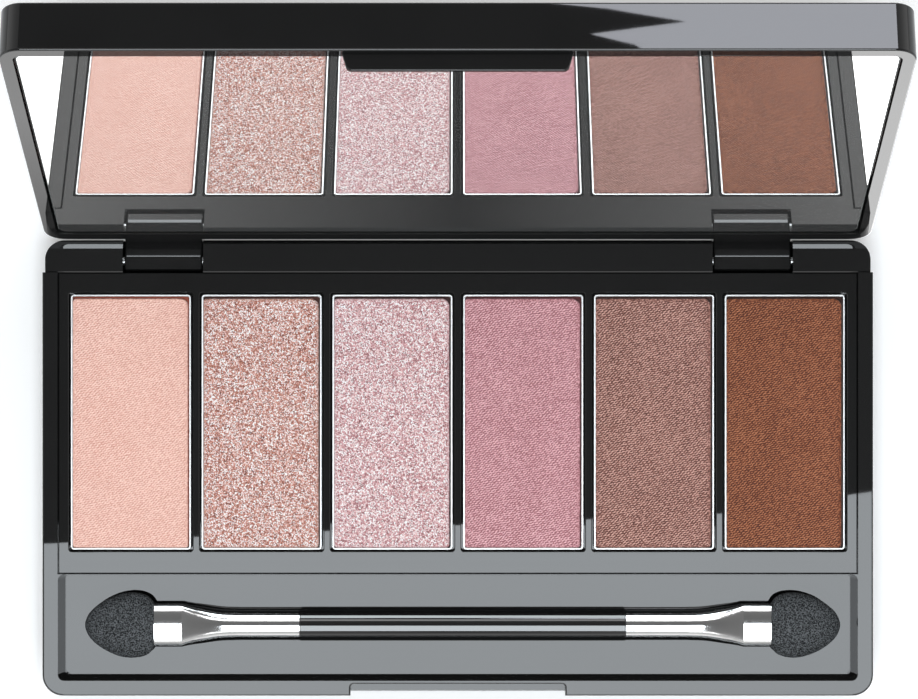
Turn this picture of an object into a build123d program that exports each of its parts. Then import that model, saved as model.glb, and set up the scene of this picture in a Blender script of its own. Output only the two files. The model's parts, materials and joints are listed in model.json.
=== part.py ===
from build123d import *
import os
from math import cos, radians, sin

os.makedirs("parts", exist_ok=True)

# Six-pan eyeshadow palette with a mirrored lid and a double-ended sponge applicator.
# Origin: centre of the flat underside. +X runs to the right of the user, +Y to the hinge, +Z up.
# The lid is modelled standing open on its stop, which is the rest pose.

# Base
base_width = 120.0
base_depth = 65.8
base_height = 8.6
front_y = -base_depth / 2
rear_y = base_depth / 2
floor_thickness = 1.6
corner_radius = 3.0
foot_edge = 0.7
rim_edge = 0.25
cut_margin = 1.0

# Hinge
hinge_y = 29.9
hinge_z = 6.2
open_angle = 112.1
ear_top_z = 8.5
strip_edge = 0.15
ear_outer_x = 59.6
ear_inner_x = 48.4
block_half_width = 36.8
ear_corner_radius = 2.8
knuckle_radius = 1.55
knuckle_side_gap = 0.2
nose_reach = 1.95
nose_gap = 0.05
lug_stop_y = rear_y - hinge_y - 0.05
stop_gap = 0.03
pin_radius = 0.6
pin_length = 24.6
pin_outer_x = 58.8
pin_press_gap = 0.01
pin_chamfer = 0.15
pin_running_gap = 0.05

# Pan tray, let into the base behind the trough
tray_half_width = 57.7
tray_front_y = -15.25
tray_rear_y = 28.15
tray_recess = 0.5
tray_plate = 0.9
tray_wall = 0.75
tray_gap = 0.1
tray_ledge = 0.7
tray_rear_ledge = 1.65
tray_edge = 0.1
tray_top = base_height - tray_recess
ledge_z = tray_top - tray_plate

# Pans and pressed powder
shades = ("peach", "rose_gold", "pink_glitter", "mauve", "taupe", "chestnut")
pan_pitch = 18.9
pan_width = 17.3
pan_depth = 36.8
pan_height = 2.9
pan_sheet = 0.2
pan_corner = 0.45
pan_y = 6.6
pan_clearance = 0.32
glue_thickness = 0.15
glue_width = 10.4
glue_depth = 25.8
powder_recess = 0.25
powder_gap = 0.05
powder_edge = 0.12
well_floor_z = tray_top - pan_height - glue_thickness

# Applicator trough
trough_half_width = 57.75
trough_front_y = -30.74
trough_rear_y = -15.35
trough_depth = 5.6
trough_draft = 5.0
trough_corner = 0.9

# Front notch and catch
notch_half_width = 15.5
notch_depth = 1.7
notch_z = 5.6
notch_corner = 0.5
scoop_depth = 0.53
scoop_low_z = 1.4
scoop_fullness = 0.8
bead_half_width = 2.5
bead_height = 0.7
bead_proud = 0.25
bead_z = 6.7

# Lid, in its own frame: origin on the hinge axis, y towards the back, z up when closed
lid_width = 119.2
lid_thickness = 7.0
lid_rim_z = base_height - hinge_z
lid_front_y = front_y - hinge_y
lid_rear_y = -2.3
lid_wall = 1.8
lid_top_wall = 1.5
lid_outer_edge = 0.3
lid_corner_radius = 3.0
lid_inner_corner = 1.2
mirror_recess = 0.3
mirror_glass = 1.1
mirror_edge_gap = 0.3
mirror_chamfer = 0.14
tape_thickness = 0.2
tape_edge_gap = 0.6
mirror_ledge = 1.2
rib_thickness = 0.9
lug_inner_x = block_half_width + knuckle_side_gap
lug_width = ear_inner_x - block_half_width - 2 * knuckle_side_gap
lug_height = 7.0
lug_corner = 2.2
lug_front_y = -1.45
lug_heel_z = 1.8
lug_back_z = 0.25
nose_top_z = -0.56
lug_edge = 0.3
nose_tip = (-0.99, -1.68)
nose_root = (0.3, -1.3)

# Latch tab under the lid's front edge
tab_half_width = 15.0
tab_tip_half_width = 14.3
tab_length = 2.5
tab_thickness = 0.6
tab_bead_gap = 0.04
tab_corner = 0.8
tab_edge = 0.15
groove_depth = 0.2
groove_width = 5.5
groove_height = 1.1

# Applicator
applicator_x = 0.7
applicator_y = -22.9
applicator_lift_gap = 0.15
handle_radius = 2.3
handle_half_length = 23.65
handle_edge = 0.15
spigot_radius = 1.9
spigot_length = 7.0
ferrule_radius = 2.25
ferrule_sheet = 0.25
ferrule_length = 21.1
crimp_length = 4.0
crimp_width = 6.35
crimp_thickness = 2.4
neck_gap = 0.03
neck_length = 3.2
core_width = 3.4
core_thickness = 0.8
core_edge = 0.27
core_in_ferrule = 5.5
core_in_sponge = 6.0
sponge_length = 10.1
applicator_z = base_height - trough_depth + handle_radius + applicator_lift_gap

body_rear_y = tray_rear_y + tray_gap
lug_pocket_front_y = hinge_y - nose_reach - nose_gap

lean = radians(open_angle)
lid_frame = Plane(
    origin=(0, hinge_y, hinge_z),
    x_dir=(1, 0, 0),
    z_dir=(0, sin(lean), cos(lean)),
)
lid_side = Plane(origin=lid_frame.origin, x_dir=lid_frame.y_dir, z_dir=(1, 0, 0))
lid_front = Plane(origin=lid_frame.origin, x_dir=(1, 0, 0), z_dir=-lid_frame.y_dir)
lid_up = Axis(lid_frame.origin, lid_frame.z_dir)
hinge_side = Plane(origin=(0, hinge_y, hinge_z), x_dir=(0, 1, 0), z_dir=(1, 0, 0))

pan_xs = [(index - (len(shades) - 1) / 2) * pan_pitch for index in range(len(shades))]
both_sides = (("left", -1), ("right", 1))


def stop_line_z(y_from_axis):
    """Height, from the hinge axis, of the sloped face that the open lid's heel rests on."""
    reach = lug_stop_y + stop_gap
    return (cos(lean) * y_from_axis - reach) / sin(lean)


def ahead_of_hinge(edge):
    """True for the main body's edges, apart from those along its rear face."""
    return edge.center().Y < body_rear_y - foot_edge


# Rear strip of the base: the two ears and the centre block, sloped at the back to clear the lid's swing.
# Each slope is given by distance ahead of the rear face and drop below the top.
ear_slope = ((1.21, 0), (0.2, 0.515), (0, 0.8))
block_slope = ((0.55, 0), (0, 0.8))
strip_sections = (
    (-ear_outer_x, -ear_inner_x, ear_slope),
    (-ear_inner_x, ear_inner_x, block_slope),
    (ear_inner_x, ear_outer_x, ear_slope),
)
with BuildPart() as hinge_strip:
    for start_x, end_x, slope in strip_sections:
        with BuildSketch(Plane.YZ.offset(start_x)):
            with BuildLine():
                Polyline(
                    *[(rear_y - ahead, ear_top_z - drop) for ahead, drop in slope],
                    (rear_y, 0),
                    (body_rear_y, 0),
                    (body_rear_y, ear_top_z - strip_edge),
                    (body_rear_y + strip_edge, ear_top_z),
                    close=True,
                )
            make_face()
        extrude(amount=end_x - start_x)
    with BuildSketch(Plane.XY):
        with Locations((0, (rear_y + body_rear_y) / 2 - ear_corner_radius)):
            RectangleRounded(
                2 * ear_outer_x, rear_y - body_rear_y + 2 * ear_corner_radius, ear_corner_radius
            )
    extrude(amount=base_height, mode=Mode.INTERSECT)

# Base shell: outer case with the trough, the tray's seat, the hinge ears and the front catch
with BuildPart() as base_shell:
    with BuildSketch(Plane.XY) as base_outline:
        with Locations((0, (front_y + body_rear_y) / 2)):
            Rectangle(base_width, body_rear_y - front_y)
        fillet(base_outline.vertices().group_by(Axis.Y)[0], corner_radius)
    extrude(amount=base_height)

    # Finger notch in the front rim
    with BuildSketch(Plane.XY.offset(notch_z)) as notch:
        with Locations((0, front_y)):
            Rectangle(2 * notch_half_width, 2 * notch_depth)
        fillet(notch.vertices().group_by(Axis.Y)[-1], notch_corner)
    extrude(amount=base_height - notch_z, mode=Mode.SUBTRACT)

    fillet(base_shell.faces().sort_by(Axis.Z)[-1].edges().filter_by(ahead_of_hinge), rim_edge)
    chamfer(base_shell.faces().sort_by(Axis.Z)[0].edges().filter_by(ahead_of_hinge), foot_edge)
    add(hinge_strip.part)

    # Seat for the pan tray, stepped so that the tray's plate rests on a ledge all round
    seat_centre_y = (trough_rear_y + body_rear_y) / 2
    with BuildSketch(Plane.XY.offset(ledge_z)):
        with Locations((0, seat_centre_y)):
            Rectangle(2 * (tray_half_width + tray_gap), body_rear_y - trough_rear_y)
    extrude(amount=base_height - ledge_z, mode=Mode.SUBTRACT)
    well_front_y = trough_rear_y + tray_ledge
    well_rear_y = body_rear_y - tray_rear_ledge
    well_half_width = tray_half_width - tray_ledge
    with BuildSketch(Plane.XY.offset(floor_thickness)):
        with Locations((0, (well_front_y + well_rear_y) / 2)):
            Rectangle(2 * well_half_width, well_rear_y - well_front_y)
    extrude(amount=base_height - floor_thickness, mode=Mode.SUBTRACT)

    # Ribs under the tray, one below each wall between two wells
    rib_top = well_floor_z - tray_wall
    with BuildSketch(Plane.XY.offset(floor_thickness)):
        with Locations((0, (well_front_y + well_rear_y) / 2)):
            with GridLocations(pan_pitch, 1, len(shades) - 1, 1):
                Rectangle(rib_thickness, well_rear_y - well_front_y)
    extrude(amount=rib_top - floor_thickness)

    # Trough for the applicator, with drafted walls
    with BuildSketch(Plane.XY.offset(base_height)):
        with Locations((0, (trough_front_y + trough_rear_y) / 2)):
            RectangleRounded(2 * trough_half_width, trough_rear_y - trough_front_y, trough_corner)
    extrude(amount=-trough_depth, taper=trough_draft, mode=Mode.SUBTRACT)

    # Pockets for the lid's two lugs, whose sloped floors stop the lid when it stands open
    pocket_rear_y = rear_y - hinge_y + cut_margin
    for side in (-1, 1):
        pocket_start = block_half_width if side > 0 else -ear_inner_x
        with BuildSketch(hinge_side.offset(pocket_start)):
            with BuildLine():
                Polyline(
                    (lug_pocket_front_y - hinge_y, base_height),
                    (lug_pocket_front_y - hinge_y, stop_line_z(lug_pocket_front_y - hinge_y)),
                    (pocket_rear_y, stop_line_z(pocket_rear_y)),
                    (pocket_rear_y, base_height),
                    close=True,
                )
            make_face()
        extrude(amount=ear_inner_x - block_half_width, mode=Mode.SUBTRACT)

    # Pin holes, drilled in from each end
    pin_inner_x = pin_outer_x - pin_length
    for side in (-1, 1):
        with BuildSketch(hinge_side.offset(side * base_width / 2)):
            Circle(pin_radius + pin_press_gap)
        extrude(amount=side * (pin_inner_x - base_width / 2), mode=Mode.SUBTRACT)

    # Shallow scoop in the front below the notch, and the catch bead at the back of the notch
    with BuildSketch(Plane.YZ.offset(-notch_half_width)):
        with BuildLine():
            Polyline(
                (front_y, scoop_low_z),
                (front_y - cut_margin, scoop_low_z),
                (front_y - cut_margin, notch_z),
                (front_y + scoop_depth, notch_z),
            )
            ThreePointArc(
                (front_y + scoop_depth, notch_z),
                (front_y + scoop_fullness * scoop_depth, (notch_z + scoop_low_z) / 2),
                (front_y, scoop_low_z),
            )
        make_face()
    extrude(amount=2 * notch_half_width, mode=Mode.SUBTRACT)
    catch_y = front_y + notch_depth
    with BuildSketch(Plane.XY.offset(bead_z)):
        with BuildLine():
            ThreePointArc((-bead_half_width, catch_y), (0, catch_y - bead_proud), (bead_half_width, catch_y))
            Line((bead_half_width, catch_y), (-bead_half_width, catch_y))
        make_face()
    extrude(amount=bead_height)

base_shell.part.label = "base_shell"
export_step(base_shell.part, "parts/base_shell.step")

# Hinge pins, pressed into the ears and the centre block, with the lid's lugs turning on them
for side_name, side in both_sides:
    with BuildPart() as hinge_pin:
        with BuildSketch(hinge_side.offset(side * pin_outer_x)):
            Circle(pin_radius)
        extrude(amount=-side * pin_length)
        chamfer(hinge_pin.edges(), pin_chamfer)
    hinge_pin.part.label = f"hinge_pin_{side_name}"
    export_step(hinge_pin.part, f"parts/hinge_pin_{side_name}.step")

# Pan tray: a plate with six wells moulded under it
with BuildPart() as pan_tray:
    with BuildSketch(Plane.XY.offset(ledge_z)):
        with Locations((0, (tray_front_y + tray_rear_y) / 2)):
            Rectangle(2 * tray_half_width, tray_rear_y - tray_front_y)
    extrude(amount=tray_plate)
    wells_width = pan_pitch * (len(shades) - 1) + pan_width + 2 * (pan_clearance + tray_wall)
    wells_depth = pan_depth + 2 * (pan_clearance + tray_wall)
    with BuildSketch(Plane.XY.offset(well_floor_z - tray_wall)):
        with Locations((0, pan_y)):
            RectangleRounded(wells_width, wells_depth, pan_corner)
    extrude(amount=ledge_z - well_floor_z + tray_wall)
    with BuildSketch(Plane.XY.offset(well_floor_z)):
        with Locations([(x, pan_y) for x in pan_xs]):
            RectangleRounded(pan_width + 2 * pan_clearance, pan_depth + 2 * pan_clearance, pan_corner)
    extrude(amount=pan_height + glue_thickness, mode=Mode.SUBTRACT)
    chamfer(pan_tray.faces().sort_by(Axis.Z)[-1].edges(), tray_edge)
pan_tray.part.label = "pan_tray"
export_step(pan_tray.part, "parts/pan_tray.step")

# Glue pads that hold the pans in their wells
with BuildPart() as pan_glue:
    with BuildSketch(Plane.XY.offset(well_floor_z)):
        with Locations([(x, pan_y) for x in pan_xs]):
            RectangleRounded(glue_width, glue_depth, pan_corner)
    extrude(amount=glue_thickness)
pan_glue.part.label = "pan_glue"
export_step(pan_glue.part, "parts/pan_glue.step")

# One sheet-metal pan and one cake of pressed powder for each shade
for shade, pan_x in zip(shades, pan_xs):
    pan_floor_z = well_floor_z + glue_thickness
    with BuildPart() as pan:
        with BuildSketch(Plane.XY.offset(pan_floor_z)):
            with Locations((pan_x, pan_y)):
                RectangleRounded(pan_width, pan_depth, pan_corner)
        extrude(amount=pan_height)
        inner_corner = pan_corner - pan_sheet
        with BuildSketch(Plane.XY.offset(pan_floor_z + pan_sheet)):
            with Locations((pan_x, pan_y)):
                RectangleRounded(pan_width - 2 * pan_sheet, pan_depth - 2 * pan_sheet, inner_corner)
        extrude(amount=pan_height - pan_sheet, mode=Mode.SUBTRACT)
    pan.part.label = f"pan_{shade}"
    export_step(pan.part, f"parts/pan_{shade}.step")

    powder_inset = 2 * (pan_sheet + powder_gap)
    with BuildPart() as powder:
        with BuildSketch(Plane.XY.offset(pan_floor_z + pan_sheet)):
            with Locations((pan_x, pan_y)):
                RectangleRounded(
                    pan_width - powder_inset, pan_depth - powder_inset, inner_corner - powder_gap
                )
        extrude(amount=pan_height - pan_sheet - powder_recess)
        chamfer(powder.faces().sort_by(Axis.Z)[-1].edges(), powder_edge)
    powder.part.label = f"powder_{shade}"
    export_step(powder.part, f"parts/powder_{shade}.step")

# Lid shell: outer cover with the mirror's seat, ribs behind the mirror, two hinge lugs and the latch tab
lid_depth = lid_rear_y - lid_front_y
lid_centre_y = (lid_front_y + lid_rear_y) / 2
mirror_z = lid_rim_z + mirror_recess
tape_z = mirror_z + mirror_glass
rib_z = tape_z + tape_thickness
rib_height = lid_rim_z + lid_thickness - lid_top_wall - rib_z
seat_width = lid_width - 2 * lid_wall
seat_depth = lid_depth - 2 * lid_wall

with BuildPart() as lug_pair:
    for side in (-1, 1):
        lug_start = lug_inner_x if side > 0 else -lug_inner_x - lug_width
        with BuildSketch(lid_side.offset(lug_start)):
            Circle(knuckle_radius)
            with BuildLine():
                Polyline(
                    (lug_stop_y, lug_height - lug_corner),
                    (lug_stop_y, lug_heel_z),
                    (knuckle_radius, lug_back_z),
                    (0, 0),
                    nose_root,
                    nose_tip,
                    (lug_front_y, nose_top_z),
                    (lug_front_y, lid_rim_z),
                    (lid_rear_y - lid_wall / 2, lid_rim_z),
                    (lid_rear_y - lid_wall / 2, lug_height),
                    (lug_stop_y - lug_corner, lug_height),
                )
                RadiusArc(
                    (lug_stop_y - lug_corner, lug_height),
                    (lug_stop_y, lug_height - lug_corner),
                    lug_corner,
                )
            make_face()
        extrude(amount=lug_width)
    fillet(lug_pair.faces().filter_by(Axis.X).edges(), lug_edge)

# Latch tab, with a softened tip and a shallow groove behind it for the catch bead
with BuildPart() as latch_tab:
    tab_back = -lid_front_y - notch_depth + bead_proud + tab_bead_gap
    with BuildSketch(lid_front.offset(tab_back)) as tab_outline:
        with BuildLine():
            Polyline(
                (-tab_half_width, lid_rim_z + mirror_recess),
                (-tab_half_width, lid_rim_z),
                (-tab_tip_half_width, lid_rim_z - tab_length),
                (tab_tip_half_width, lid_rim_z - tab_length),
                (tab_half_width, lid_rim_z),
                (tab_half_width, lid_rim_z + mirror_recess),
                close=True,
            )
        make_face()
        fillet(tab_outline.vertices().group_by(Axis.Y)[0], tab_corner)
    extrude(amount=tab_thickness)
    tab_tips = latch_tab.faces().filter_by(lid_up).sort_by(lid_up)[0].edges().filter_by(Axis.X)
    fillet(tab_tips, tab_edge)
    with BuildSketch(lid_front.offset(tab_back)):
        with Locations((0, bead_z + bead_height / 2 - hinge_z)):
            Rectangle(groove_width, groove_height)
    extrude(amount=groove_depth, mode=Mode.SUBTRACT)

with BuildPart() as lid_shell:
    with BuildSketch(lid_frame.offset(lid_rim_z)):
        with Locations((0, lid_centre_y)):
            RectangleRounded(lid_width, lid_depth, lid_corner_radius)
    extrude(amount=lid_thickness)
    fillet(lid_shell.faces().sort_by(lid_up)[-1].edges(), lid_outer_edge)
    fillet(lid_shell.faces().sort_by(lid_up)[0].edges(), rim_edge)
    with BuildSketch(lid_frame.offset(lid_rim_z)):
        with Locations((0, lid_centre_y)):
            RectangleRounded(seat_width, seat_depth, lid_inner_corner)
    extrude(amount=rib_z - lid_rim_z, mode=Mode.SUBTRACT)
    with BuildSketch(lid_frame.offset(rib_z)):
        with Locations((0, lid_centre_y)):
            Rectangle(seat_width - 2 * mirror_ledge, seat_depth - 2 * mirror_ledge)
    extrude(amount=rib_height, mode=Mode.SUBTRACT)
    with BuildSketch(lid_frame.offset(rib_z)):
        with Locations((0, lid_centre_y)):
            with GridLocations(seat_width / 6, 1, 5, 1):
                Rectangle(rib_thickness, seat_depth - mirror_ledge)
            with GridLocations(1, seat_depth / 3, 1, 2):
                Rectangle(seat_width - mirror_ledge, rib_thickness)
    extrude(amount=rib_height)
    add(lug_pair.part)

    # Running holes for the hinge pins
    with BuildSketch(lid_side.offset(-ear_inner_x)):
        Circle(pin_radius + pin_running_gap)
    extrude(amount=2 * ear_inner_x, mode=Mode.SUBTRACT)
    add(latch_tab.part)

lid_shell.part.label = "lid_shell"
export_step(lid_shell.part, "parts/lid_shell.step")

# Mirror and the double-sided tape behind it
with BuildPart() as mirror_plate:
    with BuildSketch(lid_frame.offset(mirror_z)):
        with Locations((0, lid_centre_y)):
            RectangleRounded(
                seat_width - 2 * mirror_edge_gap, seat_depth - 2 * mirror_edge_gap, lid_inner_corner
            )
    extrude(amount=mirror_glass)
    chamfer(mirror_plate.faces().sort_by(lid_up)[0].edges(), mirror_chamfer)
mirror_plate.part.label = "mirror"
export_step(mirror_plate.part, "parts/mirror.step")

with BuildPart() as mirror_tape:
    with BuildSketch(lid_frame.offset(tape_z)):
        with Locations((0, lid_centre_y)):
            Rectangle(seat_width - 2 * tape_edge_gap, seat_depth - 2 * tape_edge_gap)
    extrude(amount=tape_thickness)
mirror_tape.part.label = "mirror_tape"
export_step(mirror_tape.part, "parts/mirror_tape.step")

# Applicator handle, stepped down at both ends to fit inside the ferrules
with BuildPart() as applicator_handle:
    with BuildSketch(Plane.YZ.offset(applicator_x - handle_half_length)):
        with Locations((applicator_y, applicator_z)):
            Circle(handle_radius)
    extrude(amount=2 * handle_half_length)
    fillet(applicator_handle.edges().filter_by(GeomType.CIRCLE), handle_edge)
    with BuildSketch(Plane.YZ.offset(applicator_x - handle_half_length - spigot_length)):
        with Locations((applicator_y, applicator_z)):
            Circle(spigot_radius)
    extrude(amount=2 * (handle_half_length + spigot_length))
applicator_handle.part.label = "applicator_handle"
export_step(applicator_handle.part, "parts/applicator_handle.step")


def across_applicator(side, distance):
    """Plane square to the applicator, at this distance from its middle, facing the tip on that side."""
    return Plane(
        origin=(applicator_x + side * distance, applicator_y, applicator_z),
        x_dir=(0, 1, 0),
        z_dir=(side, 0, 0),
    )


# Distances from the middle of the applicator at which the ferrule and the sponge change shape
crimp_start = handle_half_length + ferrule_length - crimp_length
crimp_end = crimp_start + crimp_length
core_start = crimp_end - core_in_ferrule
core_end = crimp_end + core_in_sponge

# Ferrule outline where it flattens: distance back from the crimp, half width, half thickness
ferrule_sections = (
    (0.0, 3.175, 1.20),
    (1.0, 2.95, 1.45),
    (2.3, 2.77, 1.72),
    (3.6, 2.60, 1.95),
    (4.9, 2.42, 2.12),
    (6.5, 2.29, 2.22),
    (8.1, 2.25, 2.25),
)

# Sponge outline: share of its length from the ferrule, half width, half thickness
sponge_sections = (
    (0.00, 3.10, 1.15),
    (0.12, 4.40, 1.80),
    (0.33, 4.80, 2.20),
    (0.55, 4.40, 2.10),
    (0.72, 3.60, 1.80),
    (0.88, 2.40, 1.30),
    (0.96, 1.50, 0.85),
    (1.00, 0.60, 0.35),
)

for side_name, side in both_sides:
    # Ferrule: a thin tube, round at the handle and pressed flat round the sponge's neck
    with BuildPart() as ferrule:
        for sheet, mode in ((0, Mode.ADD), (ferrule_sheet, Mode.SUBTRACT)):
            with BuildSketch(across_applicator(side, handle_half_length)):
                Circle(ferrule_radius - sheet)
            extrude(amount=crimp_start - ferrule_sections[-1][0] - handle_half_length, mode=mode)
            with BuildSketch(across_applicator(side, crimp_start)):
                Ellipse(crimp_width / 2 - sheet, crimp_thickness / 2 - sheet)
            extrude(amount=crimp_length, mode=mode)
            for distance, half_width, half_thickness in ferrule_sections:
                with BuildSketch(across_applicator(side, crimp_start - distance)):
                    Ellipse(half_width - sheet, half_thickness - sheet)
            loft(mode=mode)
    ferrule.part.label = f"ferrule_{side_name}"
    export_step(ferrule.part, f"parts/ferrule_{side_name}.step")

    # Core: the flat plastic tongue that stiffens the sponge and is gripped by the crimp
    with BuildPart() as tip_core:
        with BuildSketch(across_applicator(side, core_start)):
            RectangleRounded(core_width, core_thickness, core_edge)
        extrude(amount=core_end - core_start)
    tip_core.part.label = f"tip_core_{side_name}"
    export_step(tip_core.part, f"parts/tip_core_{side_name}.step")

    # Sponge tip: a flattened teardrop with a neck inside the crimp
    with BuildPart() as sponge_tip:
        for share, half_width, half_thickness in sponge_sections:
            with BuildSketch(across_applicator(side, crimp_end + share * sponge_length)):
                Ellipse(half_width, half_thickness)
        loft()
        neck_inset = ferrule_sheet + neck_gap
        with BuildSketch(across_applicator(side, crimp_end - neck_length)):
            Ellipse(crimp_width / 2 - neck_inset, crimp_thickness / 2 - neck_inset)
        extrude(amount=neck_length)
        with BuildSketch(across_applicator(side, crimp_end - neck_length)):
            RectangleRounded(core_width + neck_gap, core_thickness + neck_gap, core_edge)
        extrude(amount=core_end + neck_gap - crimp_end + neck_length, mode=Mode.SUBTRACT)
    sponge_tip.part.label = f"sponge_tip_{side_name}"
    export_step(sponge_tip.part, f"parts/sponge_tip_{side_name}.step")
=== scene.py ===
import json
import math

import bpy
import numpy as np
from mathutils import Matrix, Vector, noise


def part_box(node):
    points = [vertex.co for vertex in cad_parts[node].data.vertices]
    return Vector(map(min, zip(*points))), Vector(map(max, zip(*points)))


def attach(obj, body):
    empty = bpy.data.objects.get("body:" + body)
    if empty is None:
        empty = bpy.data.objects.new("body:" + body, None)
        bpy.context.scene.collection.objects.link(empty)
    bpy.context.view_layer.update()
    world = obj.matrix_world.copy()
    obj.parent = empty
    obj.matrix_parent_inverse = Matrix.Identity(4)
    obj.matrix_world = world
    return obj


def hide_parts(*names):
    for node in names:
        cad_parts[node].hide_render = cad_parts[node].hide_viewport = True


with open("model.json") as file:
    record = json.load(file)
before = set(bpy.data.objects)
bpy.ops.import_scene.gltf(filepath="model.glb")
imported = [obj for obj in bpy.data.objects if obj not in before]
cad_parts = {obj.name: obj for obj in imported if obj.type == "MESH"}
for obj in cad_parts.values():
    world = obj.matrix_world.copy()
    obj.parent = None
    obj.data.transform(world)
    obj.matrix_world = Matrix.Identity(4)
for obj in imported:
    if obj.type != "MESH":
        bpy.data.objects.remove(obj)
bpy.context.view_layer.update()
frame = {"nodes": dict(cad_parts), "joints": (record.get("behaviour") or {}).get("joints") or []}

# Looks of a six-pan eyeshadow palette with a mirrored lid and a double-ended sponge applicator.
# Everything is in metres, in the row frame: +X to the right, +Y to the hinge, +Z up.

MM = 0.001
WHITE = (1.0, 1.0, 1.0)
SIDES = (("left", -1), ("right", 1))     # each side's name and the sign of its x


# ---- Node helpers

NOISE_PATCH = 0.5            # a patch of the noise texture, as a share of the texture's own unit
NOISE_SPAN = (0.3, 0.7)      # where nearly all of the noise's values lie


def new_material(name):
    """An empty material with its Principled shader: (material, node tree, shader)."""
    material = bpy.data.materials.new(name)
    material.use_nodes = True
    tree = material.node_tree
    return material, tree, tree.nodes["Principled BSDF"]


def fill_inputs(tree, node, inputs):
    """Gives each of these inputs of a node a value, or another node's output."""
    for key, value in inputs.items():
        if isinstance(value, bpy.types.NodeSocket):
            tree.links.new(value, node.inputs[key])
        else:
            node.inputs[key].default_value = value


def add_node(tree, kind, inputs=None, **settings):
    """Adds one node with these inputs and settings."""
    made = tree.nodes.new(kind)
    for key, value in settings.items():
        setattr(made, key, value)
    fill_inputs(tree, made, inputs or {})
    return made


def place_of(tree):
    """Where a point is on its own object, which moves with the body it rides on."""
    return add_node(tree, "ShaderNodeTexCoord").outputs["Object"]


def stretched(tree, place, factors):
    """The place, scaled by a factor along each axis."""
    return add_node(tree, "ShaderNodeMapping", {"Vector": place, "Scale": factors}).outputs["Vector"]


def along_axis(tree, vector, axis):
    """One coordinate of a vector."""
    return add_node(tree, "ShaderNodeSeparateXYZ", {0: vector}).outputs[axis]


def dot_product(tree, first, second):
    """How much of one vector lies along another."""
    made = add_node(tree, "ShaderNodeVectorMath", {0: first, 1: second}, operation="DOT_PRODUCT")
    return made.outputs["Value"]


def math_node(tree, operation, *numbers):
    """The result of one sum on some numbers."""
    return add_node(tree, "ShaderNodeMath", dict(enumerate(numbers)), operation=operation).outputs[0]


def rescaled(tree, value, low, high, new_low=0.0, new_high=1.0, smooth=False):
    """A number taken from one range to another, and kept inside it."""
    kind = "SMOOTHSTEP" if smooth else "LINEAR"
    inputs = {"Value": value, "From Min": low, "From Max": high, "To Min": new_low, "To Max": new_high}
    return add_node(tree, "ShaderNodeMapRange", inputs, interpolation_type=kind).outputs["Result"]


def mottle(tree, place, size, low=0.0, high=1.0, detail=2.0):
    """Soft irregular variation between two values, with patches about this size in metres."""
    inputs = {"Vector": place, "Scale": NOISE_PATCH / size, "Detail": detail}
    made = add_node(tree, "ShaderNodeTexNoise", inputs)
    return rescaled(tree, made.outputs["Fac"], *NOISE_SPAN, low, high)


def cells_of(tree, place, size):
    """Random cells about this size in metres: the node itself, for its colour or its distance."""
    return add_node(tree, "ShaderNodeTexVoronoi", {"Vector": place, "Scale": 1 / size})


def ramp(tree, factor, stops):
    """A colour that changes with a factor. Stops are (position, linear RGB)."""
    made = add_node(tree, "ShaderNodeValToRGB", {"Fac": factor})
    elements = made.color_ramp.elements
    while len(elements) < len(stops):
        elements.new(0.5)
    for element, (position, colour) in zip(elements, stops):
        element.position = position
        element.color = (*colour, 1.0)
    return made.outputs["Color"]


def mixed_colour(tree, share, first, second):
    """A blend of two colours, which is the second one where the share is 1."""
    return add_node(tree, "ShaderNodeMix", {0: share, 6: first, 7: second}, data_type="RGBA").outputs[2]


def bump(tree, height, distance, strength=1.0, under=None):
    """A normal tilted by fine relief of this height in metres, on top of the relief under it."""
    inputs = {"Height": height, "Distance": distance, "Strength": strength}
    if under is not None:
        inputs["Normal"] = under
    return add_node(tree, "ShaderNodeBump", inputs).outputs["Normal"]


def greys(*stops):
    """Ramp stops in neutral grey, from (position, level) pairs."""
    return [(position, (level,) * 3) for position, level in stops]


# ---- Materials of the moulded and metal parts

def gloss_plastic(name, black, roughness, ripple, ior=1.5):
    """Glossy black plastic, with the faint ripple and the smears of a moulded and handled surface."""
    cloud_size = 9 * MM
    smear_size = 6 * MM
    ripple_size = 5 * MM
    dust_size = 0.25 * MM
    material, tree, shader = new_material(name)
    place = place_of(tree)
    tone = math_node(tree, "MULTIPLY_ADD", mottle(tree, place, cloud_size), 0.7, 0.5)
    smeared = stretched(tree, place, (0.5, 1.4, 1.0))
    smears = mottle(tree, smeared, smear_size, 0.7 * roughness, 1.3 * roughness)
    dust = mottle(tree, place, dust_size, detail=1.0)
    grit = math_node(tree, "MULTIPLY", dust, 0.15 * roughness)
    fill_inputs(tree, shader, {
        "Base Color": ramp(tree, tone, greys((0.2, 0.85 * black), (0.9, 1.15 * black))),
        "IOR": ior,
        "Roughness": math_node(tree, "ADD", smears, grit),
        "Normal": bump(tree, mottle(tree, place, ripple_size), ripple),
    })
    return material


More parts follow.
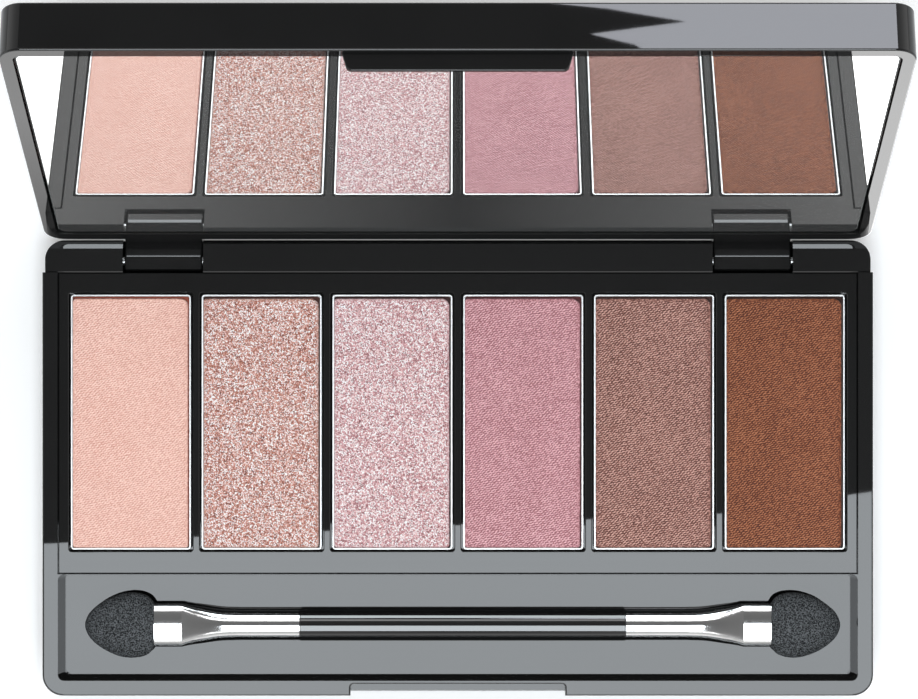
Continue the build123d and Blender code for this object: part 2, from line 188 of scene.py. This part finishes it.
def mirror_glass():
    """Silvered glass: a bright front, with green-grey glass at the cut edges."""
    haze_size = 14 * MM
    wipe_size = 4 * MM
    cut_edge = (0.12, 0.17, 0.15, 1.0)
    silvering = [(0.9, (0.96, 0.97, 0.965)), (1.0, (0.985, 0.99, 0.985))]
    # The mirror faces straight down with the lid closed, so at rest it is turned by the hinge's whole range
    turned = math.radians(frame["joints"][0]["range_deg"][0])
    front = Vector((0.0, math.sin(turned), -math.cos(turned)))

    material, tree, shader = new_material("mirror_glass")
    place = place_of(tree)
    facing = add_node(tree, "ShaderNodeTexCoord").outputs["Normal"]
    silver = rescaled(tree, dot_product(tree, facing, front), 0.5, 0.9)
    haze = ramp(tree, mottle(tree, place, haze_size, 0.93, 0.955), silvering)
    fill_inputs(tree, shader, {
        "Base Color": mixed_colour(tree, silver, cut_edge, haze),
        "Metallic": rescaled(tree, silver, 0.0, 1.0, 0.0, 0.967),
        "Roughness": mottle(tree, stretched(tree, place, (0.3, 1.0, 1.0)), wipe_size, 0.0, 0.012),
    })
    return material


def drawn_aluminium():
    """Thin drawn aluminium, with fine scuffs along its rims."""
    grain_size = 0.12 * MM
    patch_size = 1.5 * MM
    relief = 0.008 * MM
    material, tree, shader = new_material("drawn_aluminium")
    place = place_of(tree)
    grain = mottle(tree, place, grain_size, detail=3.0)
    patches = mottle(tree, place, patch_size)
    tone = math_node(tree, "MULTIPLY", grain, patches)
    fill_inputs(tree, shader, {
        "Base Color": ramp(tree, tone, [(0.0, (0.70, 0.70, 0.70)), (0.6, (0.88, 0.88, 0.875))]),
        "Metallic": 1.0,
        "Roughness": rescaled(tree, patches, 0.0, 1.0, 0.36, 0.5),
        "Normal": bump(tree, grain, relief, 0.5),
    })
    return material


def polished_metal(name, bright, roughness):
    """Plated metal, polished round its length."""
    ring_size = 0.05 * MM
    cloud_size = 2 * MM
    relief = 0.0006 * MM
    material, tree, shader = new_material(name)
    place = place_of(tree)
    rings = mottle(tree, stretched(tree, place, (1.0, 0.08, 0.08)), ring_size)
    clouds = mottle(tree, place, cloud_size)
    fill_inputs(tree, shader, {
        "Base Color": ramp(tree, clouds, greys((0.0, 0.94 * bright), (1.0, bright))),
        "Metallic": 1.0,
        "Roughness": math_node(tree, "MULTIPLY_ADD", rings, 0.3 * roughness, roughness),
        "Normal": bump(tree, rings, relief),
    })
    return material


def dull_plastic(name, colour, roughness):
    """A plain moulded plastic that stays hidden in use, with a matt grain."""
    grain_size = 0.3 * MM
    relief = 0.02 * MM
    material, tree, shader = new_material(name)
    grain = mottle(tree, place_of(tree), grain_size, detail=3.0)
    dark = tuple(0.8 * part for part in colour)
    fill_inputs(tree, shader, {
        "Base Color": ramp(tree, grain, [(0.0, dark), (1.0, colour)]),
        "Roughness": rescaled(tree, grain, 0.0, 1.0, roughness, roughness + 0.15),
        "Normal": bump(tree, grain, relief),
    })
    return material


# ---- Pressed powder: looks

CLOTH_THREADS = ((0.345 * MM, 136), (0.31 * MM, 100))    # pitch, and the direction across them in degrees
WOBBLE_SIZE = 1.2 * MM
WOBBLE_PHASE = 3.0
GRAIN_SIZE = 0.11 * MM
GRAIN_RELIEF = 0.02 * MM
CLOUD_SIZE = 4 * MM
CLOUDS = 0.05                # strength of the soft clouds in the shade
PRINT_RELIEF = 0.05 * MM
PRINT_STRENGTH = 0.8
FLAKE_SIZE = 0.14 * MM
FLAKE_SHARE = 0.95
SHEEN = 0.8
SHEEN_ROUGHNESS = 0.3

# Strengths of the cloth's print and of the grain in the shade, and the shine
PRINTED = {"print": 1.5, "grain": 0.55, "specular": 0.35}
GLITTER = {"print": 0.8, "grain": 0.4, "specular": 0.4}

# The pans from left to right. Each pan's crevice colour, where the cake has shrunk from its pan, is powder
# residue darkened further with painted shade.
POWDERS = {
    "peach": {
        **PRINTED,
        "dark": (0.70, 0.34, 0.27), "middle": (0.86, 0.50, 0.415), "light": (0.99, 0.68, 0.59),
        "residue_and_shade": (0.30, 0.07, 0.04),
    },
    "rose_gold": {
        **GLITTER,
        "dark": (0.20, 0.06, 0.035), "middle": (0.50, 0.25, 0.19), "light": (0.95, 0.70, 0.62),
        "residue_and_shade": (0.06, 0.014, 0.007),
        # The white stops at the top of each flake ramp are painted glints of the flakes.
        "flakes_and_glints": [
            (0.0, (0.09, 0.014, 0.005)), (0.3, (0.46, 0.15, 0.095)), (0.6, (0.74, 0.38, 0.31)),
            (0.78, (0.90, 0.78, 0.77)), (0.9, (1.0, 1.0, 1.0)),
        ],
    },
    "pink_glitter": {
        **GLITTER,
        "dark": (0.28, 0.10, 0.105), "middle": (0.58, 0.32, 0.33), "light": (0.96, 0.78, 0.78),
        "residue_and_shade": (0.04, 0.01, 0.008),
        # The white stops at the top of each flake ramp are painted glints of the flakes.
        "flakes_and_glints": [
            (0.0, (0.15, 0.035, 0.037)), (0.3, (0.54, 0.23, 0.24)), (0.6, (0.80, 0.49, 0.49)),
            (0.78, (0.92, 0.84, 0.84)), (0.9, (1.0, 1.0, 1.0)),
        ],
    },
    "mauve": {
        **PRINTED,
        "dark": (0.29, 0.105, 0.12), "middle": (0.525, 0.228, 0.252), "light": (0.83, 0.48, 0.515),
        "residue_and_shade": (0.09, 0.02, 0.022),
    },
    "taupe": {
        **PRINTED,
        "dark": (0.09, 0.030, 0.023), "middle": (0.262, 0.104, 0.079), "light": (0.66, 0.38, 0.32),
        "residue_and_shade": (0.045, 0.014, 0.01),
    },
    "chestnut": {
        **PRINTED,
        "dark": (0.07, 0.012, 0.003), "middle": (0.186, 0.044, 0.012), "light": (0.44, 0.17, 0.085),
        "residue_and_shade": (0.03, 0.008, 0.004),
    },
}


def cloth_print(tree, place):
    """The dotted print that the press cloth leaves: two fine crossed sets of ridges, from 0 to 1."""
    wobble = mottle(tree, place, WOBBLE_SIZE, 0.0, WOBBLE_PHASE)
    waves = []
    for pitch, direction_deg in CLOTH_THREADS:
        direction = math.radians(direction_deg)
        per_metre = 2 * math.pi / pitch
        across = (per_metre * math.cos(direction), per_metre * math.sin(direction), 0.0)
        phase = math_node(tree, "ADD", dot_product(tree, place, across), wobble)
        waves.append(math_node(tree, "SINE", phase))
    return rescaled(tree, math_node(tree, "ADD", *waves), -2.0, 2.0)


def glitter_over(tree, place, edge, powder, flake_and_glint_stops):
    """Flakes of many shades over the powder's own colour, the whitest of them painted glints, with fewer of
    them at the cake's edge.
    """
    cells = cells_of(tree, place, FLAKE_SIZE)
    pick = add_node(tree, "ShaderNodeSeparateColor", {0: cells.outputs["Color"]}).outputs[0]
    flakes_and_glints = ramp(tree, pick, flake_and_glint_stops)
    share = math_node(tree, "MULTIPLY", rescaled(tree, edge, 0.1, 0.5, 0.35, 1.0), FLAKE_SHARE)
    return mixed_colour(tree, share, powder, flakes_and_glints)


def powder_material(shade, look):
    """Pressed powder: its shade with the cloth's print, crumbs, and flakes with painted glints where the
    shade glitters, and powder residue darkened with painted shade in the crevice at its edge.
    """
    material, tree, shader = new_material(f"powder_{shade}")
    place = place_of(tree)
    # The mesh holds each point's depth into the cake's top in millimetres, less than 0 outside it
    edge = add_node(tree, "ShaderNodeAttribute", attribute_name="cake_edge").outputs["Fac"]
    inner = rescaled(tree, edge, 0.25, 0.6, smooth=True)
    ridges = rescaled(tree, cloth_print(tree, place), 0.0, 1.0, -0.5, 0.5)
    printed = math_node(tree, "MULTIPLY", ridges, inner)
    grain = mottle(tree, place, GRAIN_SIZE, detail=2.0)
    clouds = mottle(tree, place, CLOUD_SIZE)

    level = math_node(tree, "MULTIPLY", printed, look["print"])
    grit = rescaled(tree, grain, 0.0, 1.0, 0.5 - look["grain"], 0.5 + look["grain"])
    level = math_node(tree, "ADD", level, grit)
    level = math_node(tree, "ADD", level, rescaled(tree, clouds, 0.0, 1.0, -CLOUDS, CLOUDS))
    colour = ramp(tree, level, [(0.0, look["dark"]), (0.5, look["middle"]), (1.0, look["light"])])
    if "flakes_and_glints" in look:
        colour = glitter_over(tree, place, edge, colour, look["flakes_and_glints"])
    # In the crevice the colour turns to powder residue darkened with painted shade.
    on_top = rescaled(tree, edge, -0.05, 0.03)
    relief = bump(tree, printed, PRINT_RELIEF, PRINT_STRENGTH)
    fill_inputs(tree, shader, {
        "Base Color": mixed_colour(tree, on_top, (*look["residue_and_shade"], 1.0), colour),
        "Specular IOR Level": look["specular"],
        "Sheen Weight": SHEEN,
        "Sheen Roughness": SHEEN_ROUGHNESS,
        "Roughness": rescaled(tree, grain, 0.0, 1.0, 0.55, 0.75),
        "Normal": bump(tree, grain, GRAIN_RELIEF, 1.0, relief),
    })
    return material


# ---- Pressed powder: shape

FINE_STEP = 0.06 * MM        # the grid's step near the cake's edges
FINE_WIDTH = 1.2 * MM        # how far in from an edge the grid is fine
COARSE_STEP = 0.3 * MM
PAN_CORNER = 0.4 * MM        # rounding of the cake where it meets the pan

SPILL = 0.1 * MM             # how far the cake's top would reach past the pan at the front and left
BACK_GAP = 0.30 * MM         # how far the top has shrunk away from the pan
RIGHT_GAP = 0.17 * MM
TOP_RADIUS = 0.55 * MM
BACK_RIGHT_RADIUS = 1.15 * MM

CREVICE = 0.45 * MM          # depth of the gap that the shrinking leaves
CREVICE_SOFTNESS = 0.022 * MM
BEVEL = 0.05 * MM            # how far the top rounds off at its edge
BEVEL_WIDTH = 0.09 * MM
CREASE = 0.035 * MM          # the faint crease that the press leaves inside the edge
CREASE_PLACE = 0.45 * MM
CREASE_WIDTH = 0.06 * MM
CREASE_EVEN = 0.6            # how much of the crease runs on, and how much the crumbs break up
CREASE_BROKEN = 0.8
CRUMB_SIZE = 0.5 * MM
CRUMB_FRACTAL = (1.0, 2.0, 3)    # fall-off, spacing of the octaves and their number
CRUMB_HEIGHT = 0.004 * MM
RAGGED = 0.07 * MM           # how far the crumbs shift the edge in and out
SWELL_SIZE = 5 * MM
SWELL_HEIGHT = 0.012 * MM
LARGEST_EXPONENT = 40
SHARP_ANGLE_DEG = 60


def cake_lines(low, high):
    """Grid lines between two edges, close together near both."""
    near = np.arange(0.0, FINE_WIDTH, FINE_STEP)
    count = max(2, round((high - low - 2 * FINE_WIDTH) / COARSE_STEP))
    middle = np.linspace(low + FINE_WIDTH, high - FINE_WIDTH, count)
    return np.concatenate([low + near, middle, (high - near)[::-1]])


def cake_grid(low, high):
    """The cake in plan: a square grid whose corners are bent on to the outline's rounded ones."""
    grid_x, grid_y = np.meshgrid(cake_lines(low.x, high.x), cake_lines(low.y, high.y), indexing="ij")
    middle = (low + high) / 2
    half_x, half_y = (high.x - low.x) / 2, (high.y - low.y) / 2
    beyond_x = np.clip(np.abs(grid_x - middle.x) - (half_x - PAN_CORNER), 0, None) / PAN_CORNER
    beyond_y = np.clip(np.abs(grid_y - middle.y) - (half_y - PAN_CORNER), 0, None) / PAN_CORNER
    bent_x = beyond_x * np.sqrt(1 - beyond_y ** 2 / 2)
    bent_y = beyond_y * np.sqrt(1 - beyond_x ** 2 / 2)
    x = grid_x - np.sign(grid_x - middle.x) * (beyond_x - bent_x) * PAN_CORNER
    y = grid_y - np.sign(grid_y - middle.y) * (beyond_y - bent_y) * PAN_CORNER
    return x, y


def depth_into_top(x, y, low, high):
    """How far each point lies inside the cake's top: a rounded oblong, short of the pan's back and right."""
    middle = (low + high) / 2
    left, right = low.x - SPILL, high.x - RIGHT_GAP
    front, back = low.y - SPILL, high.y - BACK_GAP
    radius = np.where((x > middle.x) & (y > middle.y), BACK_RIGHT_RADIUS, TOP_RADIUS)
    off_x = np.maximum(x - right, left - x) + radius
    off_y = np.maximum(y - back, front - y) + radius
    farther = np.maximum(off_x, off_y)
    outside = np.hypot(np.maximum(off_x, 0), np.maximum(off_y, 0))
    return radius - np.where(farther > 0, outside, farther)


def cake_noise(x, y, seed):
    """The crumbs and the wide soft swells at each point."""
    crumbs = np.empty(x.shape)
    swells = np.empty(x.shape)
    for index in np.ndindex(x.shape):
        at = Vector((x[index], y[index], seed * MM))
        crumbs[index] = noise.fractal(at / CRUMB_SIZE, *CRUMB_FRACTAL)
        swells[index] = noise.noise(at / SWELL_SIZE)
    return crumbs, swells


def cake_heights(depth, flat, crumbs, swells):
    """How high each point is: a flat pressed top, with a bevel, a crease and a crevice at its edge."""
    top = flat + SWELL_HEIGHT * swells + CRUMB_HEIGHT * crumbs
    exponent = np.clip(depth / CREVICE_SOFTNESS, -LARGEST_EXPONENT, LARGEST_EXPONENT)
    fallen = 1 / (1 + np.exp(exponent))
    bevel = BEVEL * np.exp(-np.clip(depth, 0, None) / BEVEL_WIDTH)
    crease = CREASE * np.exp(-((depth - CREASE_PLACE) / CREASE_WIDTH) ** 2)
    crease = crease * (CREASE_EVEN + CREASE_BROKEN * crumbs)
    return top - CREVICE * fallen - bevel - np.clip(crease, 0, None)


def grid_faces(rows, columns):
    """The faces of a grid of points, numbered along its columns."""
    faces = []
    for i in range(rows - 1):
        for j in range(columns - 1):
            first = i * columns + j
            faces.append((first, first + columns, first + columns + 1, first + 1))
    return faces


def grid_rim(rows, columns):
    """The points round a grid, in order."""
    rim = [i * columns for i in range(rows)]
    rim += [(rows - 1) * columns + j for j in range(1, columns)]
    rim += [i * columns + columns - 1 for i in range(rows - 2, -1, -1)]
    rim += range(columns - 2, 0, -1)
    return rim


def new_object(name, points, faces, material):
    """An object with a mesh and a material of its own, put in the scene."""
    mesh = bpy.data.meshes.new(name)
    mesh.from_pydata(points, [], faces)
    mesh.materials.append(material)
    made = bpy.data.objects.new(name, mesh)
    bpy.context.scene.collection.objects.link(made)
    return made


def powder_cake(shade, look, seed):
    """The cake of one shade: a flat top with a pressed border, shrunk from the pan's back and right."""
    low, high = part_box(f"powder_{shade}")
    x, y = cake_grid(low, high)
    crumbs, swells = cake_noise(x, y, seed)
    depth = depth_into_top(x, y, low, high) + RAGGED * crumbs
    z = cake_heights(depth, high.z, crumbs, swells)

    top = np.stack([x, y, z], axis=-1).reshape(-1, 3)
    faces = grid_faces(*x.shape)
    rim = grid_rim(*x.shape)
    below = top[rim].copy()
    below[:, 2] = low.z
    first_below, count = len(top), len(rim)
    for k in range(count):
        following = (k + 1) % count
        faces.append((rim[following], rim[k], first_below + k, first_below + following))
    faces.append(tuple(first_below + k for k in range(count))[::-1])

    points = np.concatenate([top, below]).tolist()
    cake = new_object(f"cake_{shade}", points, faces, powder_material(shade, look))
    mesh = cake.data
    edge = np.concatenate([depth.reshape(-1), np.full(count, -CREVICE)]) / MM
    attribute = mesh.attributes.new("cake_edge", "FLOAT", "POINT")
    attribute.data.foreach_set("value", edge.astype(np.float32))
    mesh.shade_smooth()
    mesh.set_sharp_from_angle(angle=math.radians(SHARP_ANGLE_DEG))
    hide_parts(f"powder_{shade}")
    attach(cake, "base")


# ---- Sponge tips

# Outline of a tip from the ferrule to its end: share of the length, half width, half thickness, in mm
TIP_OUTLINE = (
    (-0.32, 2.89, 0.91), (-0.03, 2.89, 0.91), (0.0, 3.05, 1.05), (0.03, 3.65, 1.40), (0.07, 4.10, 1.62),
    (0.12, 4.38, 1.80), (0.20, 4.66, 2.02), (0.33, 4.78, 2.18), (0.45, 4.66, 2.16), (0.55, 4.40, 2.10),
    (0.65, 3.98, 1.96), (0.72, 3.60, 1.80), (0.80, 3.06, 1.60), (0.88, 2.38, 1.30), (0.94, 1.72, 0.98),
    (0.98, 1.02, 0.58), (0.995, 0.45, 0.26),
)
TIP_NECK = 3.2 * MM          # length of the foam inside the ferrule
TIP_END = 0.999              # share of the length at the middle of the tip's end
TIP_RINGS = 128
TIP_AROUND = 220
SMOOTHINGS = 3
BARE_SHARE = 0.05            # share of the length over which the pores come in, next to the ferrule
PORE_SIZE = 0.17 * MM
PORE_DEPTH = 0.055 * MM
POCKET_SIZE = 0.4 * MM       # the larger pores among them
POCKET_SHARE = 0.6
LUMP_SIZE = 2.2 * MM
LUMP_HEIGHT = 0.05 * MM
LUMP_SINK = 0.6              # keeps the lumps under the outline
LUMP_OFFSET = 7              # makes the two tips' lumps differ

CELL_SIZE = 0.15 * MM
FOAM_GRAIN_SIZE = 0.10 * MM
FOAM_RELIEF = 0.05 * MM


def foam():
    """Dark fine-celled foam rubber, with painted shade darkening the middle of each cell where its pore is.
    """
    material, tree, shader = new_material("sponge_foam")
    place = place_of(tree)
    # Each cell is darker towards its middle: painted shade inside the foam's pores.
    pore_shade = rescaled(tree, cells_of(tree, place, CELL_SIZE).outputs["Distance"], 0.15, 0.55)
    grain = mottle(tree, place, FOAM_GRAIN_SIZE, detail=3.0)
    level = math_node(tree, "MULTIPLY_ADD", grain, 0.6, math_node(tree, "MULTIPLY", pore_shade, 0.4))
    colours = [
        (0.30, (0.0015, 0.0016, 0.0018)), (0.52, (0.009, 0.010, 0.0108)), (0.78, (0.12, 0.128, 0.135)),
    ]
    fill_inputs(tree, shader, {
        "Base Color": ramp(tree, level, colours),
        "Roughness": 0.9,
        "Specular IOR Level": 0.25,
        "Normal": bump(tree, level, FOAM_RELIEF, 0.8),
    })
    return material


def tip_rings(cad_low, cad_high):
    """The tip's rings: each one's share of the length, half width and half thickness."""
    share, width, thickness = np.array(TIP_OUTLINE).T
    width = width * (cad_high.y - cad_low.y) / 2 / width.max()
    thickness = thickness * (cad_high.z - cad_low.z) / 2 / thickness.max()
    at = share[0] + (share[-1] - share[0]) * np.linspace(0, 1, TIP_RINGS)
    halves = [np.interp(at, share, sizes) for sizes in (width, thickness)]
    for half in halves:
        for _ in range(SMOOTHINGS):
            half[1:-1] = (half[:-2] + 2 * half[1:-1] + half[2:]) / 4
    return at, *halves


def foam_shift(point, side):
    """How far the foam's skin moves out from its smooth outline, at its pores and lumps."""
    pore = noise.noise(point / PORE_SIZE) + POCKET_SHARE * noise.noise(point / POCKET_SIZE)
    lump = noise.noise(point / LUMP_SIZE + Vector((LUMP_OFFSET * side, 0, 0)))
    return PORE_DEPTH * min(pore, 0.0) + LUMP_HEIGHT * (lump - LUMP_SINK)


def tip_points(cad_low, cad_high, side):
    """The points of the tip's rings, and of the middles of its two ends."""
    middle = (cad_low + cad_high) / 2
    length = cad_high.x - cad_low.x - TIP_NECK
    start = cad_low.x + TIP_NECK if side > 0 else cad_high.x - TIP_NECK
    at, half_width, half_thickness = tip_rings(cad_low, cad_high)
    angle = np.linspace(0, 2 * math.pi, TIP_AROUND, endpoint=False)
    points = []
    for i in range(TIP_RINGS):
        porous = min(max(at[i] / BARE_SHARE, 0.0), 1.0)
        for turn in angle:
            y, z = half_width[i] * math.cos(turn), half_thickness[i] * math.sin(turn)
            point = Vector((start + side * at[i] * length, middle.y + y, middle.z + z))
            away = Vector((0, y / half_width[i] ** 2, z / half_thickness[i] ** 2)).normalized()
            points.append(point + away * (porous * foam_shift(point, side)))
    points.append(Vector((start + side * at[0] * length, middle.y, middle.z)))
    points.append(Vector((start + side * length * TIP_END, middle.y, middle.z)))
    return points


def tip_faces(side):
    """The faces between the tip's rings and of the fans that close its two ends."""
    last = (TIP_RINGS - 1) * TIP_AROUND
    neck_centre = TIP_RINGS * TIP_AROUND
    end_centre = neck_centre + 1
    faces = []
    for i in range(TIP_RINGS - 1):
        for j in range(TIP_AROUND):
            following = (j + 1) % TIP_AROUND
            a, b = i * TIP_AROUND + j, i * TIP_AROUND + following
            faces.append((a, b, b + TIP_AROUND, a + TIP_AROUND))
    for j in range(TIP_AROUND):
        following = (j + 1) % TIP_AROUND
        faces.append((neck_centre, following, j))
        faces.append((end_centre, last + j, last + following))
    if side > 0:
        faces = [face[::-1] for face in faces]
    return faces


def sponge_tip(side_name, side, material):
    """One flattened teardrop of foam with open pores, and its neck inside the ferrule."""
    cad_low, cad_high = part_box(f"sponge_tip_{side_name}")
    points = [tuple(point) for point in tip_points(cad_low, cad_high, side)]
    tip = new_object(f"foam_tip_{side_name}", points, tip_faces(side), material)
    tip.data.shade_smooth()
    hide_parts(f"sponge_tip_{side_name}")
    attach(tip, "applicator")


# ---- Light cards and sky, in metres from the middle of the base

BEHIND = 1                   # the sign of y where a card stands
IN_FRONT = -1

KEY_HEIGHT = 0.7086
KEY_HALF_WIDTH = 0.155
KEY_FRONT = -0.63
KEY_REAR_EDGE = ((-KEY_HALF_WIDTH, -0.0495), (0.090, -0.0386), (KEY_HALF_WIDTH, -0.029))
KEY_RADIANCE = 7.1
KEY_TINT = (0.94, 1.0, 1.045)

# The back right card's left edge, whose reflection in the lid's front wall is a zigzag: across and down
ZIGZAG = (
    (0.085, -0.035), (0.058, -0.017), (0.0433, -0.0134), (0.0744, -0.0094), (0.0482, -0.0051),
    (0.0302, -0.0034), (0.012, 0.001), (0.012, 0.035),
)
BACK_RIGHT_CORNERS = ((0.3, 0.035), (0.3, -0.035))
BACK_RIGHT_TINT = (0.97, 1.0, 1.09)

# Bounce cards on the table beside the base: name, near and far edge, radiance in front and at the rear
BOUNCES = (("bounce_left", -0.0606, -0.1, 2.15, 1.05), ("bounce_right", 0.0606, 0.1, 4.4, 4.1))
BOUNCE_FRONT = -0.06
BOUNCE_REAR = 0.034
BOUNCE_HEIGHT = 0.0002
BOUNCE_FADE = (-0.002, 0.024)    # the y between which their radiance changes

# Levels of the sky by the upward part of the direction, from the horizon to straight above
SKY_LEVELS = ((0.0, 1.3), (0.25, 1.1), (0.5, 0.6), (0.75, 0.2), (1.0, 0.14))


def fading(axis, start, end, first, last, mirrored=False):
    """A radiance for card() that changes along the card, or from its middle to both its ends."""
    def strength(tree):
        along = along_axis(tree, place_of(tree), axis)
        if mirrored:
            along = math_node(tree, "ABSOLUTE", along)
        return rescaled(tree, along, start, end, first, last)
    return strength


def card(name, corners, radiance, tint=WHITE):
    """A flat card that gives off light and isn't itself seen. The radiance is a number, or fading()'s."""
    material = bpy.data.materials.new(name)
    material.use_nodes = True
    tree = material.node_tree
    tree.nodes.clear()
    strength = radiance(tree) if callable(radiance) else radiance
    light = add_node(tree, "ShaderNodeEmission", {"Color": (*tint, 1.0), "Strength": strength})
    add_node(tree, "ShaderNodeOutputMaterial", {"Surface": light.outputs[0]})
    panel = new_object(name, corners, [tuple(range(len(corners)))], material)
    panel.visible_camera = False
    return panel


def slanted_card(name, outline, towards, aim_deg, distance, radiance, tint=WHITE):
    """A card square to its direction: an angle from straight up, towards the back or the front.
    The outline is in points of (across, down)."""
    aim = math.radians(aim_deg)
    centre = Vector((0.0, towards * math.sin(aim) * distance, math.cos(aim) * distance))
    down = Vector((0.0, towards * math.cos(aim), -math.sin(aim)))
    corners = [centre + Vector((across, 0.0, 0.0)) + along * down for across, along in outline]
    return card(name, corners, radiance, tint)


def oblong(half_width, half_height, middle=0.0):
    """The outline of an oblong card."""
    left, right = middle - half_width, middle + half_width
    return [(left, -half_height), (right, -half_height), (right, half_height), (left, half_height)]


def make_cards():
    """One big soft light over the front, and slimmer ones behind and in front."""
    rear = [(x, y, KEY_HEIGHT) for x, y in KEY_REAR_EDGE]
    front = [(KEY_HALF_WIDTH, KEY_FRONT, KEY_HEIGHT), (-KEY_HALF_WIDTH, KEY_FRONT, KEY_HEIGHT)]
    card("key_card", rear + front, KEY_RADIANCE, KEY_TINT)
    slanted_card("back_strip", oblong(0.25, 0.08), BEHIND, aim_deg=37.5, distance=0.7, radiance=2.5)
    slanted_card(
        "back_right_card", ZIGZAG + BACK_RIGHT_CORNERS, BEHIND,
        aim_deg=49.5, distance=0.8, radiance=8.0, tint=BACK_RIGHT_TINT,
    )
    slanted_card(
        "back_left_flag", oblong(0.2, 0.04, middle=-0.1), BEHIND,
        aim_deg=49.5, distance=0.82, radiance=0.08,
    )
    brighter_ends = fading("X", start=0.0, end=0.165, first=0.02, last=1.9, mirrored=True)
    slanted_card(
        "front_card", oblong(0.3, 0.07), IN_FRONT,
        aim_deg=47.5, distance=1.0, radiance=brighter_ends,
    )


def make_bounces():
    """Cards on the table that only gloss picks up, which brighten the rims at the lid's sides."""
    for name, near, far, front, rear in BOUNCES:
        plan = ((near, BOUNCE_FRONT), (far, BOUNCE_FRONT), (far, BOUNCE_REAR), (near, BOUNCE_REAR))
        corners = [(x, y, BOUNCE_HEIGHT) for x, y in plan]
        bounce = card(name, corners, fading("Y", *BOUNCE_FADE, front, rear))
        bounce.visible_diffuse = False
        bounce.visible_shadow = False


def make_sky():
    """A pale sky that darkens upwards."""
    world = bpy.data.worlds.new("soft_sky")
    bpy.context.scene.world = world
    world.use_nodes = True
    tree = world.node_tree
    direction = add_node(tree, "ShaderNodeTexCoord").outputs["Generated"]
    sky = ramp(tree, along_axis(tree, direction, "Z"), greys(*SKY_LEVELS))
    fill_inputs(tree, tree.nodes["Background"], {"Color": sky, "Strength": 1.0})


# ---- Floor and camera

FLOOR_HALF = 3.0
FLOOR_DROP = 0.02 * MM       # keeps the floor clear of the base's underside
FLOOR_MOTTLE = 60 * MM
FLOOR_TONES = (0.965, 0.975)
FLOOR_GLOW = 0.16
FLOOR_GLOW_TINT = (1.0, 1.0, 0.99)

CAMERA_PLACE = (0.17 * MM, 17.1 * MM, 526.6 * MM)
CAMERA_SENSOR_MM = 36.0
CAMERA_LENS_MM = 140.7


def make_floor():
    """A wide plain pale floor that the palette stands on, with a faint glow of its own."""
    material, tree, shader = new_material("pale_floor")
    tone = mottle(tree, place_of(tree), FLOOR_MOTTLE)
    fill_inputs(tree, shader, {
        "Base Color": ramp(tree, tone, greys((0.0, FLOOR_TONES[0]), (1.0, FLOOR_TONES[1]))),
        "Roughness": 1.0,
        "Specular IOR Level": 0.0,
        "Emission Color": (*FLOOR_GLOW_TINT, 1.0),
        "Emission Strength": FLOOR_GLOW,
    })
    signs = ((-1, -1), (1, -1), (1, 1), (-1, 1))
    corners = [(sign_x * FLOOR_HALF, sign_y * FLOOR_HALF, 0) for sign_x, sign_y in signs]
    floor = new_object("floor", corners, [(0, 1, 2, 3)], material)
    floor.location.z = -FLOOR_DROP


def make_camera():
    """Straight above the base, looking down, with the hinge at the top of the picture."""
    data = bpy.data.cameras.new("camera")
    data.sensor_width = CAMERA_SENSOR_MM
    data.lens = CAMERA_LENS_MM
    camera = bpy.data.objects.new("camera", data)
    camera.location = CAMERA_PLACE
    bpy.context.scene.collection.objects.link(camera)
    bpy.context.scene.camera = camera


# ---- The palette

def dress(material, *nodes):
    """Gives CAD nodes their material, in each of their slots."""
    for node in nodes:
        for slot in frame["nodes"][node].material_slots:
            slot.material = material


def on_both_sides(stem):
    """The names of the left and the right one of a pair of nodes."""
    return [f"{stem}_{side_name}" for side_name, _ in SIDES]


case_black = gloss_plastic("case_black", black=0.0098, roughness=0.012, ripple=0.0002 * MM)
tray_black = gloss_plastic("tray_black", black=0.0090, roughness=0.010, ripple=0.0001 * MM)
handle_black = gloss_plastic("handle_black", black=0.008, roughness=0.05, ripple=0.0004 * MM, ior=1.75)
nickel = polished_metal("nickel_plate", bright=0.88, roughness=0.09)
steel = polished_metal("pin_steel", bright=0.55, roughness=0.28)
tape = dull_plastic("tape_foam", colour=(0.62, 0.62, 0.60), roughness=0.8)
glue = dull_plastic("hot_glue", colour=(0.75, 0.70, 0.58), roughness=0.35)
core = dull_plastic("core_plastic", colour=(0.55, 0.55, 0.54), roughness=0.45)

dress(case_black, "base_shell", "lid_shell")
dress(tray_black, "pan_tray")
dress(handle_black, "applicator_handle")
dress(nickel, *on_both_sides("ferrule"))
dress(steel, *on_both_sides("hinge_pin"))
dress(tape, "mirror_tape")
dress(glue, "pan_glue")
dress(core, *on_both_sides("tip_core"))
dress(mirror_glass(), "mirror")
dress(drawn_aluminium(), *[f"pan_{shade}" for shade in POWDERS])

foam_black = foam()
for side_name, side in SIDES:
    sponge_tip(side_name, side, foam_black)
for seed, (shade, look) in enumerate(POWDERS.items()):
    powder_cake(shade, look, seed)

make_floor()
make_cards()
make_bounces()
make_sky()
make_camera()
bpy.context.scene.view_settings.view_transform = "Standard"
